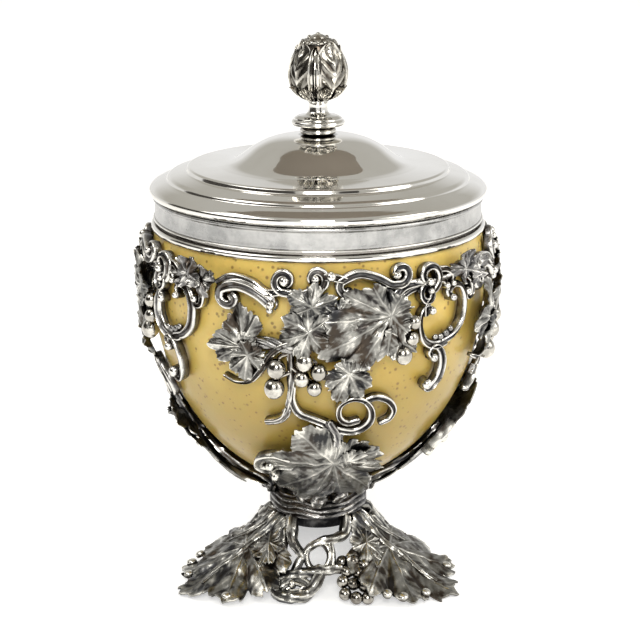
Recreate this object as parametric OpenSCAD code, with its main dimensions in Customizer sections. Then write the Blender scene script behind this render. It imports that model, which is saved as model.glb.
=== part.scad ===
// Covered cup made from an ostrich egg, held in a cast grapevine cradle on a vine-leaf foot.
// Millimetres. The table is z = 0, the cup's axis is x = y = 0, and the front faces -Y.

/* [Egg] */
// Radius of the egg at its widest
egg_radius = 62.5; // [55:0.5:70]
// Half of the whole egg's length
egg_half_length = 80.5; // [72:0.5:88]
// Height of the egg's widest ring above the table
egg_centre_height = 119; // [110:1:125]
// Thickness of the shell
egg_wall = 2.2; // [1.8:0.1:3]
// Height at which the egg is cut open
egg_cut_height = 140.6; // [138:0.1:141]

/* [Collar] */
// Outer radius of the satin band
band_radius = 60.6; // [60:0.1:61]
// Outer radius of the sleeve that lines the mouth
sleeve_radius = 57.8; // [57:0.1:58]
// Wall of the sleeve
sleeve_wall = 1.2; // [0.8:0.1:2]
// Height of the sleeve's lower edge
sleeve_low = 131; // [125:1:136]
// Height of the collar's top edge, where the lid rests
collar_top = 150.4; // [149:0.1:152]
// Height where the band meets the moulding below it
band_low = 142.7; // [141.5:0.1:144]

/* [Lid] */
// Gap between the lid's plug ring and the sleeve, all round
bezel_gap = 0.3; // [0.2:0.05:0.6]
// Wall of the lid's plug ring
bezel_wall = 1.2; // [0.8:0.1:2]
// Height of the plug ring's lower edge
bezel_low = 140.8; // [136:0.2:146]
// Height of the small gap between lid and collar
lid_gap = 0.2; // [0.1:0.05:0.4]
// Height of the flat on top of the lid
lid_top = 172; // [168:0.5:176]
// Radius of the lid's rolled rim
lid_radius = 62.6; // [61:0.1:65]

/* [Finial] */
// Radius of the stud that holds the finial
stud_radius = 1.6; // [1.2:0.1:2]
// Radius of the knop's widest ring
knop_radius = 10; // [8:0.2:12]
// Radius of the bud at its widest
bud_radius = 10.5; // [8:0.1:12]
// Height of the finial's tip
finial_tip = 208.8; // [200:0.2:215]

/* [Cradle] */
// Gap between the cradle and the egg
cradle_gap = 1.2; // [0.8:0.1:2]
// Depth of the scrolls and stems
stem_depth = 3.2; // [2.4:0.1:4]
// Depth of the leaves that lie on them
leaf_depth = 2.4; // [1.6:0.1:3]
// Radius of the largest grape
grape_radius = 3.6; // [2.8:0.1:3.7]
// Length of a leaf's saw teeth
leaf_tooth = 0.9; // [0.3:0.1:1.5]

/* [Foot] */
// Outer radius of the ring where the foot leaves start
ring_radius = 19; // [18.5:0.1:19.4]
// Height of the ring's lower edge
ring_low = 25; // [24.5:0.1:25.5]
// Height of the ring's top edge
ring_high = 35; // [34.5:0.1:35.5]
// Thickness of the foot leaves where they lie on the table
pad_height = 2.2; // [1.6:0.1:3]
// How far the foot leaves reach from the axis
foot_reach = 60; // [54:0.5:66]
// Angle between a foot leaf and the roots beside it
foot_turn = 60; // [56:1:64]
// Radius of the bolt that holds the egg down
bolt_radius = 3; // [2:0.1:4]

/* [Hidden] */
stem_inner = cradle_gap;
stem_outer = cradle_gap + stem_depth;
leaf_outer = stem_outer + leaf_depth;
running_gap = 0.05;

front = 0;
right = 90;
back = 180;
left = 270;

// the foot has three roots, and a leaf after each
front_root = 0;
right_root = 120;
left_root = 240;

polished = [0.86, 0.86, 0.84];
satin = [0.75, 0.75, 0.74];
aged = [0.48, 0.48, 0.47];
aged_leaf = [0.58, 0.57, 0.55];
shell_cream = [0.88, 0.76, 0.48];
steel = [0.62, 0.63, 0.65];

// ---- plane curves ----

function blend(a, b, f) = a + (b - a) * f;

function along(p0, p1, p2, p3, f) =
    0.5 * (2 * p1 + (p2 - p0) * f + (2 * p0 - 5 * p1 + 4 * p2 - p3) * f * f
        + (3 * p1 - p0 - 3 * p2 + p3) * f * f * f);

// a smooth path through a few points, with the given number of steps between them
function smooth(points, steps = 4) = concat(
    [for (i = [0:len(points) - 2], k = [0:steps - 1])
        along(points[max(i - 1, 0)], points[i], points[i + 1],
            points[min(i + 2, len(points) - 1)], k / steps)],
    [points[len(points) - 1]]);

// a spiral about a centre, from one radius and angle to another
function spiral(centre, r0, r1, a0, a1, steps = 14) =
    [for (i = [0:steps])
        centre + blend(r0, r1, i / steps)
            * [cos(blend(a0, a1, i / steps)), sin(blend(a0, a1, i / steps))]];

function heading(path, i) =
    let (d = path[min(i + 1, len(path) - 1)] - path[max(i - 1, 0)]) d / norm(d);

function beside(path, i, w) = path[i] + w * [-heading(path, i)[1], heading(path, i)[0]];

// a band along a path, with its own width at each end
module band_2d(path, w0, w1) {
    last = len(path) - 1;
    polygon(concat(
        [for (i = [0:last]) beside(path, i, blend(w0, w1, i / last) / 2)],
        [for (i = [last:-1:0]) beside(path, i, -blend(w0, w1, i / last) / 2)]));
}

module dot_2d(centre, r) translate(centre) circle(r, $fn = 16);

// one outline from overlapping shapes
module joined() offset(delta = 0.1) children();

// How far a leaf reaches in one direction. Each lobe is [direction, length].
function reach(lobes, core, a) =
    max([for (l = lobes)
        let (away = abs((a - l[0] + 540) % 360 - 180))
        core + (l[1] - core) * pow(max(0, cos(min(90, away * 2.6))), 0.8)]);

module leaf_2d(stalk, lobes, core, turn = 0) {
    translate(stalk)
    rotate(turn)
        polygon([for (i = [0:71])
            (reach(lobes, core, i * 5) + (i % 2) * leaf_tooth) * [cos(i * 5), sin(i * 5)]]);
}

// ---- shells around the egg and over the foot ----

function egg_point(t, out) =
    let (n = [cos(t) / egg_radius, sin(t) / egg_half_length])
    [egg_radius * cos(t), egg_centre_height + egg_half_length * sin(t)] + out * n / norm(n);

// the cradle's line: from the stem ring, out under the egg, then up its side
function cradle_line(out) = concat(
    [[15.2 + out, 28], [15.8 + 0.97 * out, 36 - 0.24 * out], [19.5 + 0.7 * out, 42.3 - 0.71 * out]],
    [for (t = [-64:11:24]) egg_point(t, out)]);

module cradle_shell(inner, outer) {
    line = cradle_line(outer);
    back_line = cradle_line(inner);
    rotate_extrude($fn = 120)
        polygon(concat(line, [for (i = [len(back_line) - 1:-1:0]) back_line[i]]));
}

// what an outline covers on the cradle, seen from one side of the cup
module on_cradle(side, turn, inner, outer)
    rotate(side + turn)
    intersection() {
        cradle_shell(inner, outer);
        rotate([90, 0, 0])
            linear_extrude(height = 90)
                children();
    }

// the foot leaves arch out from under the ring, and the roots between them fall more steeply
leaf_top = [[13, ring_low], [19, ring_low], [22, 24.4], [28, 21.8], [34, 18], [40, 13], [45, 8.2],
    [49, 4.6], [53, 3], [foot_reach - 2, pad_height], [foot_reach + 12, pad_height]];
leaf_under = [[foot_reach + 12, 0], [47.6, 0], [45.6, 1.4], [40, 8], [34, 13.4], [28, 17.6],
    [22, 20.4], [19, 21.2], [13, 21.2]];
root_top = [[13, ring_low], [18, ring_low], [19.6, 23.2], [22.6, 19.6], [26.4, 15.2], [30, 9.6],
    [33.6, 4.6], [36.6, 2.8], [44, 2.4]];
root_under = [[44, 0], [33.8, 0], [32.2, 1], [29, 5], [25.4, 11], [21.4, 16], [18.6, 19.4],
    [16.4, 21.4], [13, 21.4]];

// what a plan outline, drawn along +X, covers between a top line and an under line
module on_foot(side, top, under)
    rotate(side - 90)
    intersection() {
        rotate_extrude($fn = 120)
            polygon(concat(top, under));
        translate([0, 0, -1])
            linear_extrude(height = 30)
                children();
    }

module turned(profile) rotate_extrude($fn = 120) polygon(profile);

module bore(r, low, high) translate([0, 0, low]) cylinder(r = r, h = high - low, $fn = 60);

// ---- lid ----

bezel_radius = sleeve_radius - sleeve_wall - bezel_gap;
lid_low = collar_top + lid_gap;
roof = lid_top - 1.7;
bezel_high = 154.6;

module lid_shell()
    color(polished)
    difference() {
        turned([
            [0, lid_top], [8, lid_top], [16, lid_top - 1], [20, 169.9], [24, 167.6], [27, 165.3],
            [30, 163.1], [33, 161.8], [37, 161.2], [47.6, 161], [48.3, 160.6], [48.6, 159.4],
            [50, 159], [54.8, 157.9], [55.7, 157.4], [56, 156.4], [59, 155.5], [61.3, 154.4],
            [lid_radius - 0.2, 153.3], [lid_radius, 152.6], [lid_radius - 0.3, 151.8],
            [lid_radius - 0.9, 151], [lid_radius - 1.7, lid_low],
            [bezel_radius, lid_low], [bezel_radius, bezel_high], [54.6, bezel_high],
            [53.6, 156.2], [46.6, 159.2], [37, 159.6], [32.4, 160.2], [29, 162], [26, 164.1],
            [23, 166.4], [19.4, 168.5], [15.6, 169.6], [8, roof], [0, roof]]);
        bore(stud_radius + running_gap, 160, 180);
    }

module lid_bezel()
    color(polished)
    difference() {
        bore(bezel_radius, bezel_low, bezel_high);
        bore(bezel_radius - bezel_wall, bezel_low - 1, bezel_high + 1);
    }

module finial_knop()
    color(polished)
    difference() {
        turned([
            [0, lid_top], [5.2, lid_top], [6.4, 172.9], [6.8, 173.8], [6, 174.7], [5.4, 175.1],
            [8.6, 175.5], [knop_radius, 176.2], [knop_radius, 176.9], [9.4, 177.5], [8.9, 178.4],
            [7.2, 179.1], [4.6, 179.5], [3.7, 180.6], [3.4, 182.6], [3.6, 184], [4, 185.2], [0, 185.2]]);
        bore(stud_radius + running_gap, 171, 186);
    }

petals = 6;

module finial_bud()
    color(aged)
    difference() {
        union() {
            turned([
                [0, 185.2], [3.6, 185.2], [4.6, 186.4], [6.6, 188.2], [8.4, 190], [9.5, 192.4],
                [9.8, 195], [9.3, 198], [8.2, 201], [7, 203.8], [6.2, 205.4], [0, 205.4]]);
            for (i = [0:petals - 1])
                rotate(i * 360 / petals + 15)
                translate([bud_radius - 6.6, 0, 195])
                    sphere(r = 6.6, $fn = 40);
        }
        bore(stud_radius + running_gap, 183, 190);
    }

beads = 9;

module finial_flower()
    color(aged)
    union() {
        turned([[0, 205.4], [6.6, 205.4], [6.8, 206.6], [5.4, 207.4], [2.8, finial_tip - 0.6],
            [0, finial_tip]]);
        for (i = [0:beads - 1])
            rotate(i * 360 / beads)
            translate([4.4, 0, 207])
                sphere(r = 1, $fn = 20);
    }

module finial_stud() color(steel) bore(stud_radius, roof - 4.2, 189.6);

module finial_nut()
    color(steel)
    difference() {
        translate([0, 0, roof - 3])
            cylinder(r = 4, h = 3, $fn = 6);
        bore(stud_radius + running_gap, roof - 5, roof + 1);
    }

// ---- collar ----

moulding_low = 138.4;
moulding_radius = 62;

module collar_band()
    color(satin)
    turned([
        [sleeve_radius, band_low], [band_radius, band_low], [band_radius, 148.8],
        [61, 149.1], [61.2, 149.7], [61, collar_top - 0.2], [60.6, collar_top],
        [sleeve_radius, collar_top]]);

module collar_moulding()
    color(polished)
    turned([
        [60.75, moulding_low], [61.5, moulding_low], [moulding_radius, 139.2],
        [moulding_radius + 0.1, 140.2], [61.8, 141.2], [61.1, 141.8], [61.3, 142.3],
        [61, band_low], [sleeve_radius, band_low], [sleeve_radius, egg_cut_height],
        [60.75, egg_cut_height]]);

module collar_sleeve()
    color(polished)
    difference() {
        bore(sleeve_radius, sleeve_low, collar_top);
        bore(sleeve_radius - sleeve_wall, sleeve_low - 1, collar_top + 1);
    }

// ---- egg ----

egg_steps = [-90:5:20];

module egg_solid(out)
    turned(concat([for (t = egg_steps) egg_point(t, out)], [[0, egg_point(20, out)[1]]]));

module egg_cup()
    color(shell_cream)
    difference() {
        egg_solid(0);
        egg_solid(-egg_wall);
        translate([0, 0, egg_cut_height])
            cylinder(r = 80, h = 40, $fn = 60);
        bore(bolt_radius + running_gap, 30, 50);
    }

// ---- cradle panels, drawn as seen from the front of each panel: x across, y is height ----

// the scrolls that run along the front of a panel
module crest_front_2d() {
    band_2d(spiral([-11.4, 132.6], 3.9, 1.3, -80, -410, 16), 2.4, 2);
    band_2d(smooth([[-11.4, 129], [-6.2, 128], [-1.2, 129.4]], 3), 2.6, 2.6);
    band_2d(spiral([-0.6, 133.8], 4, 1.5, -100, 200, 14), 2.6, 2);
    band_2d([[2.6, 134], [7.6, 133.8], [9.4, 133]], 2.4, 2.4);
    band_2d(spiral([10, 130.4], 1, 3.4, -60, -230, 10), 2.4, 2.6);
    band_2d(smooth([[7.9, 133], [13.5, 135.4], [20, 133.6], [25.5, 130.4]], 4), 2.6, 2.8);
    band_2d(spiral([28, 134.2], 3.8, 1.4, -110, 190, 14), 2.6, 1.8);
    band_2d(smooth([[24.4, 119], [25.6, 126], [30, 129.8], [36, 129.4]], 4), 3, 2.6);
    band_2d([[25.6, 131], [27, 126.6]], 2.6, 2.6);
    band_2d(spiral([-30, 126.4], 3.4, 1.2, 170, 400, 12), 2.6, 1.8);
    band_2d(smooth([[-33.4, 126], [-32, 130.6], [-26, 132], [-19.6, 129.4], [-14.6, 131]], 4),
        2.6, 2.6);
    band_2d(smooth([[-19.6, 129.8], [-16.4, 127.4], [-16.8, 123.6]], 3), 2.8, 1.6);
    band_2d([[-35.6, 131], [-32, 129.4]], 3, 2.8);
}

// the rosette and leaf scrolls at the join with the next panel
module crest_side_2d() {
    band_2d(spiral([-7, 131.4], 1.4, 4.4, 220, -80, 14), 2.4, 2.6);
    band_2d(spiral([-7, 125.4], 1.2, 3.2, 120, 420, 12), 2.2, 2.4);
    band_2d(smooth([[-12, 129.4], [-5, 128.4], [4, 131], [9.5, 133.6]], 4), 3, 4);
    band_2d(smooth([[9, 132.6], [14.5, 131], [20, 130]], 3), 4.4, 3.4);
    band_2d(smooth([[14, 130], [15.6, 124], [13.6, 120.6], [11.6, 122]], 3), 2.6, 1.8);
    dot_2d([9, 130], 4);
    dot_2d([3.4, 129], 2.6);
}

module hoop_2d() {
    band_2d(smooth([[4.2, 126.6], [8.6, 125.2], [11, 119.6], [9.4, 112.8], [4.8, 108.6],
        [-0.6, 107.4]], 4), 2.6, 2.6);
    band_2d(smooth([[0.4, 107.2], [-6.4, 108.6], [-9.8, 114.4], [-7.6, 119.6], [-4, 119.4]], 4),
        2.8, 1.8);
    band_2d(smooth([[-8, 119], [-8, 121.4], [-7.2, 123]], 2), 2, 2);
    band_2d(smooth([[4.2, 126.2], [2.2, 124.4], [3, 122.4]], 3), 2.2, 1.8);
    dot_2d([2.4, 111], 1.7);
    dot_2d([-0.2, 109.6], 1.7);
    dot_2d([-3, 109.4], 1.7);
    band_2d(smooth([[-2.4, 107.6], [-6.4, 106], [-7.6, 103], [-5.6, 102]], 3), 2.6, 1.8);
    band_2d(smooth([[-3.6, 106], [0.6, 101.6], [0.8, 95.8], [-1.8, 91.2], [-4.8, 91.4]], 4),
        3, 2.2);
    dot_2d([-5, 92.2], 2);
}

// the part of the cradle between two angles, measured from the front of a panel
module sector(side, from, to)
    rotate(side - 90)
    linear_extrude(height = 150)
        polygon([
            [0, 0],
            100 * [cos(from), sin(from)],
            140 * [cos((from + to) / 2), sin((from + to) / 2)],
            100 * [cos(to), sin(to)]]);

join_angle = 59;
rosette_angle = 31.5;
rosette_gap = 0.02;

// the scrolls of the front, then the rosette scrolls beside them, which reach the next panel
module crest(side)
    color(aged)
    union() {
        intersection() {
            on_cradle(side, 0, stem_inner, stem_outer)
            joined()
                crest_front_2d();
            sector(side, join_angle - 90, rosette_angle - rosette_gap);
        }
        intersection() {
            on_cradle(side, 42, stem_inner, stem_outer)
            joined()
                difference() {
                    crest_side_2d();
                    hoop_2d();
                }
            sector(side, rosette_angle, join_angle);
        }
    }

module hoop(side)
    color(aged)
    on_cradle(side, 42, stem_inner, stem_outer)
    offset(delta = -0.1)
        hoop_2d();

module vine_2d() {
    band_2d(smooth([[-24, 110.6], [-17, 111], [-9.6, 109.8], [-6.6, 112], [-3, 117]], 4), 3.4, 3.4);
    band_2d(smooth([[-3, 117], [6, 114], [14, 116], [25, 121]], 3), 3.4, 3);
    band_2d(smooth([[-9.8, 109.8], [-9.3, 100], [-9.6, 91], [-10.6, 84.6], [-14, 81.6],
        [-17.4, 80.6]], 4), 2.2, 1.8);
    band_2d(smooth([[-11.5, 109.6], [-16.5, 107.4], [-22.4, 100], [-27, 95.6], [-32, 95.4]], 4),
        1.6, 1.4);
    band_2d(smooth([[-9.6, 90], [-6.6, 84.6], [0, 82.6], [5.6, 79.8], [11, 77.4], [17, 77.8],
        [21.2, 82]], 4), 2.4, 2);
    band_2d(smooth([[18, 89], [24, 88.8], [28.6, 85.4], [28.4, 81.4], [25.4, 79.6]], 4), 2, 1.8);
    band_2d(spiral([15.2, 85.2], 5.6, 5.6, -40, 320, 24), 2, 2);
    band_2d(smooth([[4.6, 80.4], [7, 72], [6.6, 62], [4, 50], [1, 40], [0, ring_high]], 4), 4, 7);
    band_2d(smooth([[7, 62], [12, 52], [10.6, 44], [7, ring_high + 2]], 3), 2.6, 4);
}

module vine(side)
    color(aged)
    on_cradle(side, 0, stem_inner, stem_outer)
    offset(delta = -0.1)
    difference() {
        vine_2d();
        crest_front_2d();
        translate([-20, ring_high - 20])
            square([40, 20]);
    }

module big_leaf(side)
    color(aged_leaf)
    on_cradle(side, 0, stem_outer, leaf_outer)
    joined() {
        leaf_2d([21.4, 117.4], [[200, 21], [258, 15.5], [150, 17], [112, 9], [310, 7.4]], 5.2);
        leaf_2d([10.6, 101], [[250, 10.4], [310, 9], [190, 6.4], [70, 6]], 3.4);
    }

module centre_leaf(side)
    color(aged_leaf)
    on_cradle(side, 0, stem_outer, leaf_outer)
    joined()
        leaf_2d([-3.4, 118.4], [[95, 10], [150, 12.4], [210, 10.6], [265, 8], [30, 6.4]], 3.6);

module side_leaf(side)
    color(aged_leaf)
    on_cradle(side, 0, stem_outer, leaf_outer)
    joined()
        leaf_2d([-25.4, 109.4], [[92, 14], [134, 12], [182, 15], [232, 9], [268, 14], [320, 6]], 5);

// a point above the egg, seen from the front of a panel: across, height, distance off the egg
function above_egg(x, height, out) =
    let (spot = egg_point(asin((height - egg_centre_height) / egg_half_length), out))
    [x, -sqrt(spot[0] * spot[0] - x * x), spot[1]];

// each grape is [across, height, radius]
grape_list = [
    [-14, 102.6, 3.3], [-14.8, 95.4, grape_radius],
    [-4.6, 105.4, 2.9], [0.2, 101.9, 2.8], [-5.4, 99.4, 2.7], [-1.2, 96, 2.6],
    [28.6, 106, 3.3], [31.4, 111.4, 2.5], [32.2, 116.6, 2.5]];

module grapes(side)
    color(aged)
    rotate(side)
    for (g = grape_list)
        translate(above_egg(g[0], g[1], stem_outer + 0.2))
            sphere(r = g[2], $fn = 40);

module low_leaf(side)
    color(aged_leaf)
    on_cradle(side, 0, stem_outer, leaf_outer)
    joined()
        leaf_2d([5.4, 65.4], [[178, 24], [215, 21], [246, 30], [270, 27], [300, 18], [337, 16],
            [22, 14], [147, 14]], 8);

// ---- foot ----

module stem_ring()
    color(aged)
    difference() {
        turned([
            [0, ring_low], [17.6, ring_low], [ring_radius - 0.2, 26.2], [ring_radius, 27],
            [18.3, 27.8], [18.8, 29], [18, 30.2], [18.6, 31.4], [17.9, 32.6], [18.2, 33.8],
            [17.5, ring_high], [0, ring_high]]);
        bore(12, ring_low - 1, ring_high - 3);
        bore(bolt_radius + running_gap, ring_high - 4, ring_high + 1);
    }

module egg_seat()
    color(satin)
    difference() {
        bore(14.4, ring_high, 46);
        egg_solid(0);
        bore(bolt_radius + running_gap, 30, 47);
    }

module cup_bolt()
    color(steel)
    union() {
        bore(6.5, ring_high - 6, ring_high - 3);
        bore(bolt_radius, ring_high - 3, 47.6);
    }

module cup_nut()
    color(steel)
    difference() {
        union() {
            bore(8, 41.5, 42.5);
            translate([0, 0, 42.5])
                cylinder(r = 6, h = 4, $fn = 6);
        }
        bore(bolt_radius + running_gap, 40, 48);
    }

module foot_leaf_2d()
    joined() {
        leaf_2d([30, 0], [[0, 27], [-38, 25], [38, 25], [-72, 25.8], [72, 25.8], [-104, 19],
            [104, 19]], 11);
        band_2d([[13, 0], [30, 0]], 15, 15);
    }

module foot_leaf(root_side)
    color(aged_leaf)
    on_foot(root_side + foot_turn, leaf_top, leaf_under)
        foot_leaf_2d();

// each foot grape is [across, outward from the axis, height]
foot_grape_list = [[11.2, 27.4, 11.4], [16.6, 26, 12.4], [9.8, 32.2, 8.6], [15.2, 31.2, 6.9],
    [20.4, 28.8, 8.9], [12, 34.8, 2.7], [17.4, 35, 2.8]];
foot_grape_radius = 2.5;

// the roots, the open loop and the curl between two foot leaves
module foot_root_2d() {
    band_2d(smooth([[15, -9], [20, -8.8], [25.4, -6.2]], 4), 4.4, 3.2);
    band_2d(smooth([[15, 9.6], [20, 7.2], [23.8, 4.4]], 4), 4, 3);
    band_2d(spiral([26.6, -0.6], 4.1, 4.1, 0, 360, 20), 2.4, 2.4);
    band_2d(smooth([[25, -6], [28.6, -8], [32, -11.6]], 4), 3.4, 3.6);
    band_2d(smooth([[29.4, -12.6], [30.4, -6], [30.6, -1], [29.4, 3.4], [28, 7.6]], 4), 3.6, 4);
    band_2d(smooth([[31, -3], [34.6, -5.4], [35.6, -9.6], [32.6, -12.4], [30, -10.4]], 4), 4, 3);
}

module foot_root(root_side)
    color(aged)
    on_foot(root_side, root_top, root_under)
    offset(delta = -0.05)
    difference() {
        foot_root_2d();
        rotate(foot_turn)
            foot_leaf_2d();
        rotate(foot_turn - 120)
            foot_leaf_2d();
        for (g = foot_grape_list)
            dot_2d([g[1], g[0]], foot_grape_radius + 0.1);
    }

module foot_grapes(root_side)
    color(aged)
    rotate(root_side)
    for (g = foot_grape_list)
        translate([g[0], -g[1], g[2]])
            sphere(r = foot_grape_radius, $fn = 40);

lid_shell();
lid_bezel();
finial_knop();
finial_bud();
finial_flower();
finial_stud();
finial_nut();
collar_band();
collar_moulding();
collar_sleeve();
egg_cup();
crest(front);  // front_crest
crest(right);  // right_crest
crest(back);  // back_crest
crest(left);  // left_crest
hoop(front);  // front_hoop
hoop(right);  // right_hoop
hoop(back);  // back_hoop
hoop(left);  // left_hoop
vine(front);  // front_vine
vine(right);  // right_vine
vine(back);  // back_vine
vine(left);  // left_vine
big_leaf(front);  // front_big_leaf
big_leaf(right);  // right_big_leaf
big_leaf(back);  // back_big_leaf
big_leaf(left);  // left_big_leaf
centre_leaf(front);  // front_centre_leaf
centre_leaf(right);  // right_centre_leaf
centre_leaf(back);  // back_centre_leaf
centre_leaf(left);  // left_centre_leaf
side_leaf(front);  // front_side_leaf
side_leaf(right);  // right_side_leaf
side_leaf(back);  // back_side_leaf
side_leaf(left);  // left_side_leaf
grapes(front);  // front_grapes
grapes(right);  // right_grapes
grapes(back);  // back_grapes
grapes(left);  // left_grapes
low_leaf(front);  // front_low_leaf
low_leaf(right);  // right_low_leaf
low_leaf(back);  // back_low_leaf
low_leaf(left);  // left_low_leaf
stem_ring();
egg_seat();
cup_bolt();
cup_nut();
foot_leaf(front_root);  // right_foot_leaf
foot_leaf(right_root);  // back_foot_leaf
foot_leaf(left_root);  // left_foot_leaf
foot_root(front_root);  // front_foot_root
foot_root(right_root);  // right_foot_root
foot_root(left_root);  // left_foot_root
foot_grapes(front_root);  // front_foot_grapes
foot_grapes(right_root);  // right_foot_grapes
foot_grapes(left_root);  // left_foot_grapes
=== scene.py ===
"""Looks for the ostrich-egg covered cup: silver lid and collar, egg bowl, cast grapevine cradle, leaf foot.

Shapes are worked out in millimetres in the CAD frame and stored in metres. A panel is drawn as seen
from its own side: x across, z up, and "out" is the distance off the egg.
"""

import math
import bpy
import numpy as np
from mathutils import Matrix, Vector


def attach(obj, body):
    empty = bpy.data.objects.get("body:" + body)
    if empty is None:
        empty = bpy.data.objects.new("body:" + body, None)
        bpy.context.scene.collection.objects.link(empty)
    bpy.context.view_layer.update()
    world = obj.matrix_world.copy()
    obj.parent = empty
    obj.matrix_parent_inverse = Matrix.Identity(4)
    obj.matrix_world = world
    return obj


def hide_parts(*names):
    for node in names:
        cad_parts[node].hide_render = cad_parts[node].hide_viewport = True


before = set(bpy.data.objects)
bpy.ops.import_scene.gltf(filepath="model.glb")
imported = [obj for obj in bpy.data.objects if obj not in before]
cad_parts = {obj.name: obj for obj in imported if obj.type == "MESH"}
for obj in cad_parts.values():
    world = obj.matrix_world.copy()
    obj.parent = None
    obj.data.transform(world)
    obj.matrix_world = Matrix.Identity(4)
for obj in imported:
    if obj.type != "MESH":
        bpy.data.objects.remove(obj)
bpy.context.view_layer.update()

MM = 0.001
SHARP_ANGLE = 58

# How far round the axis each panel, join, root and leaf sits, in degrees. The photo's left panel sits
# 3 degrees off the CAD one.
SIDES = {"front": 0, "right": 90, "back": 180, "left": 267}
JOIN_TURN = 42
ROOT_TURNS = {"front": 0, "right": 120, "left": 240}
LEAF_TURNS = {"right": 60, "back": 180, "left": 300}

# The egg: half its width and height, its middle, its cut, its wall and its bolt hole's radius
EGG_R = 62.5
EGG_HALF = 80.5
EGG_Z = 119.0
EGG_CUT = 140.6
EGG_WALL = 2.2
EGG_HOLE = 3.05


# ---- small maths


def smoothstep(x, low, high):
    f = np.clip((x - low) / (high - low), 0, 1)
    return f * f * (3 - 2 * f)


def unit(v):
    return v / np.maximum(np.linalg.norm(v, axis=-1, keepdims=True), 1e-12)


def turned(points, degrees):
    """The points turned about the cup's axis."""
    a = math.radians(degrees)
    c, s = math.cos(a), math.sin(a)
    return points @ np.array([[c, s, 0], [-s, c, 0], [0, 0, 1]])


def even(path, step):
    """The same path with points at even steps, in mm."""
    lengths = np.linalg.norm(np.diff(path, axis=0), axis=1)
    s = np.concatenate([[0], np.cumsum(lengths)])
    n = max(4, int(s[-1] / step) + 1)
    at = np.linspace(0, s[-1], n)
    return np.column_stack([np.interp(at, s, path[:, i]) for i in range(path.shape[1])])


def spline(points, step=0.7):
    """A smooth path through the points."""
    p = np.array(points, float)
    p = np.vstack([2 * p[0] - p[1], p, 2 * p[-1] - p[-2]])
    out = []
    f = np.linspace(0, 1, 12, endpoint=False)[:, None]
    for a, b, c, d in zip(p, p[1:], p[2:], p[3:]):
        bend = (2 * a - 5 * b + 4 * c - d) * f**2 + (3 * b - a - 3 * c + d) * f**3
        out.append(0.5 * (2 * b + (c - a) * f + bend))
    return even(np.vstack(out + [p[-2:-1]]), step)


def spiral(centre, r0, r1, a0, a1, steps=16):
    """Points of a spiral about a centre, from one radius and angle to another."""
    f = np.linspace(0, 1, steps)
    a = np.radians(a0 + (a1 - a0) * f)
    r = r0 + (r1 - r0) * f
    return np.column_stack([centre[0] + r * np.cos(a), centre[1] + r * np.sin(a)])


def waves(x, y, seed, scale, octaves=3):
    """Soft random hills over x and y, from about -1 to 1, with the given width in mm."""
    rnd = np.random.default_rng(seed)
    total = np.zeros(np.broadcast(x, y).shape)
    for i in range(octaves):
        for _ in range(4):
            a, phase = rnd.uniform(0, 2 * math.pi, 2)
            k = 2 * math.pi * 1.9**i / scale * rnd.uniform(0.7, 1.3)
            total += np.sin(k * (np.cos(a) * x + np.sin(a) * y) + phase) / 1.7**i
    return total / 4


# ---- surfaces the castings follow


def cradle_table():
    """Height, then radius and outward normal of the line that the cradle follows, every half mm."""
    rows = [(24, 15.2, 1, 0), (28, 15.2, 1, 0), (36, 15.8, 0.97, -0.24), (42.3, 19.5, 0.7, -0.71)]
    for t in np.radians(np.arange(-64, 32, 2.0)):
        n = unit(np.array([math.cos(t) / EGG_R, math.sin(t) / EGG_HALF]))
        rows.append((EGG_Z + EGG_HALF * math.sin(t), EGG_R * math.cos(t), n[0], n[1]))
    rows = np.array(rows)
    z = np.arange(24, 150, 0.5)
    table = np.column_stack([np.interp(z, rows[:, 0], rows[:, i]) for i in (1, 2, 3)])
    soft = [np.convolve(np.pad(c, 4, "edge"), np.ones(9) / 9, "valid") for c in table.T]
    return z, np.array(soft).T


CRADLE_Z, CRADLE = cradle_table()


def on_cradle(x, z, out):
    """Points and normals at x mm across a panel's front, at height z and a distance off the egg."""
    x, z, out = np.broadcast_arrays(np.asarray(x, float), np.asarray(z, float), np.asarray(out, float))
    r, nr, nz = (np.interp(z, CRADLE_Z, CRADLE[:, i]) for i in range(3))
    a = np.arcsin(np.clip(x / (r + 3), -0.97, 0.97))
    radius = r + nr * out
    p = np.stack([radius * np.sin(a), -radius * np.cos(a), z + nz * out], -1)
    n = np.stack([nr * np.sin(a), -nr * np.cos(a), nz], -1)
    return p, unit(n)


def slope(line, droop=1.0):
    """A way to place points on a line of (radius, height) swept round the axis; droop lowers the sides."""
    line = spline(line, 0.5)
    steep = np.gradient(line[:, 1]) / np.maximum(np.gradient(line[:, 0]), 1e-3)

    def place(x, y, out):
        x, y, out = np.broadcast_arrays(np.asarray(x, float), np.asarray(y, float), np.asarray(out, float))
        r = np.hypot(x, y)
        z = np.interp(np.hypot(x, droop * y), line[:, 0], line[:, 1])
        fall = np.interp(r, line[:, 0], steep)
        a = np.arctan2(y, x)
        n = unit(np.stack([-fall, np.ones_like(fall)], -1))
        radius, height = r + n[..., 0] * out, z + n[..., 1] * out
        p = np.stack([radius * np.sin(a), -radius * np.cos(a), height], -1)
        return p, np.stack([n[..., 0] * np.sin(a), -n[..., 0] * np.cos(a), n[..., 1]], -1)

    return place


on_foot_leaf = slope([(13, 23.6), (17, 23.2), (20, 20.8), (25, 17.2), (31, 13.6), (37, 10.6), (42, 8),
                      (46, 5.8), (50, 3.8), (54, 2.6), (58, 1.9), (72, 1.6)], 1.25)
on_foot_root = slope([(13, 25), (17.6, 25), (20, 22.4), (22.6, 19), (26.4, 14.2), (30, 8.6), (33.6, 4.2),
                      (36.6, 2.2), (44, 1.6)])


# ---- mesh building


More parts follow.
